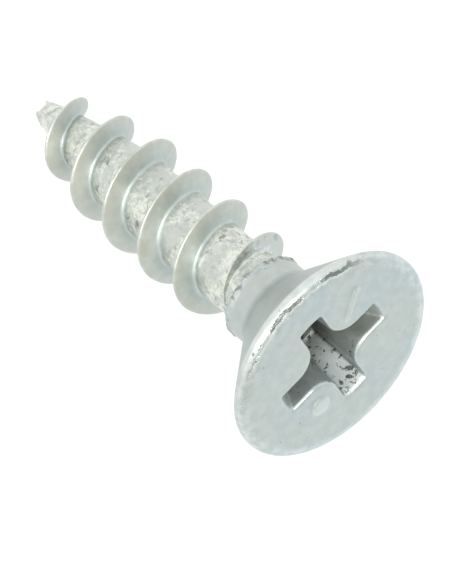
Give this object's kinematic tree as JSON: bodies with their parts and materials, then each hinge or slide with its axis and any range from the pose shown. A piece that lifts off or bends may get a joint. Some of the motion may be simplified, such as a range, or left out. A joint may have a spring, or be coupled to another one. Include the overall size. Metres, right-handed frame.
{
  "type": "countersunk wood screw",
  "caption": "Short countersunk wood screw with a cross recess, a plain neck, a coarse sharp thread and a tapered point, in bright zinc.",
  "frame": {"origin": "centre of the head's flat top face, on the screw's axis", "axes": "+Z out of the head along the axis, with the point at -Z; the wings of the cross recess lie along X and Y"},
  "size_m": [0.008, 0.008, 0.0157],
  "materials": {
    "zinc": "satin"
  },
  "bodies": {
    "root": {"screw": "zinc"}
  },
  "joints": []
}
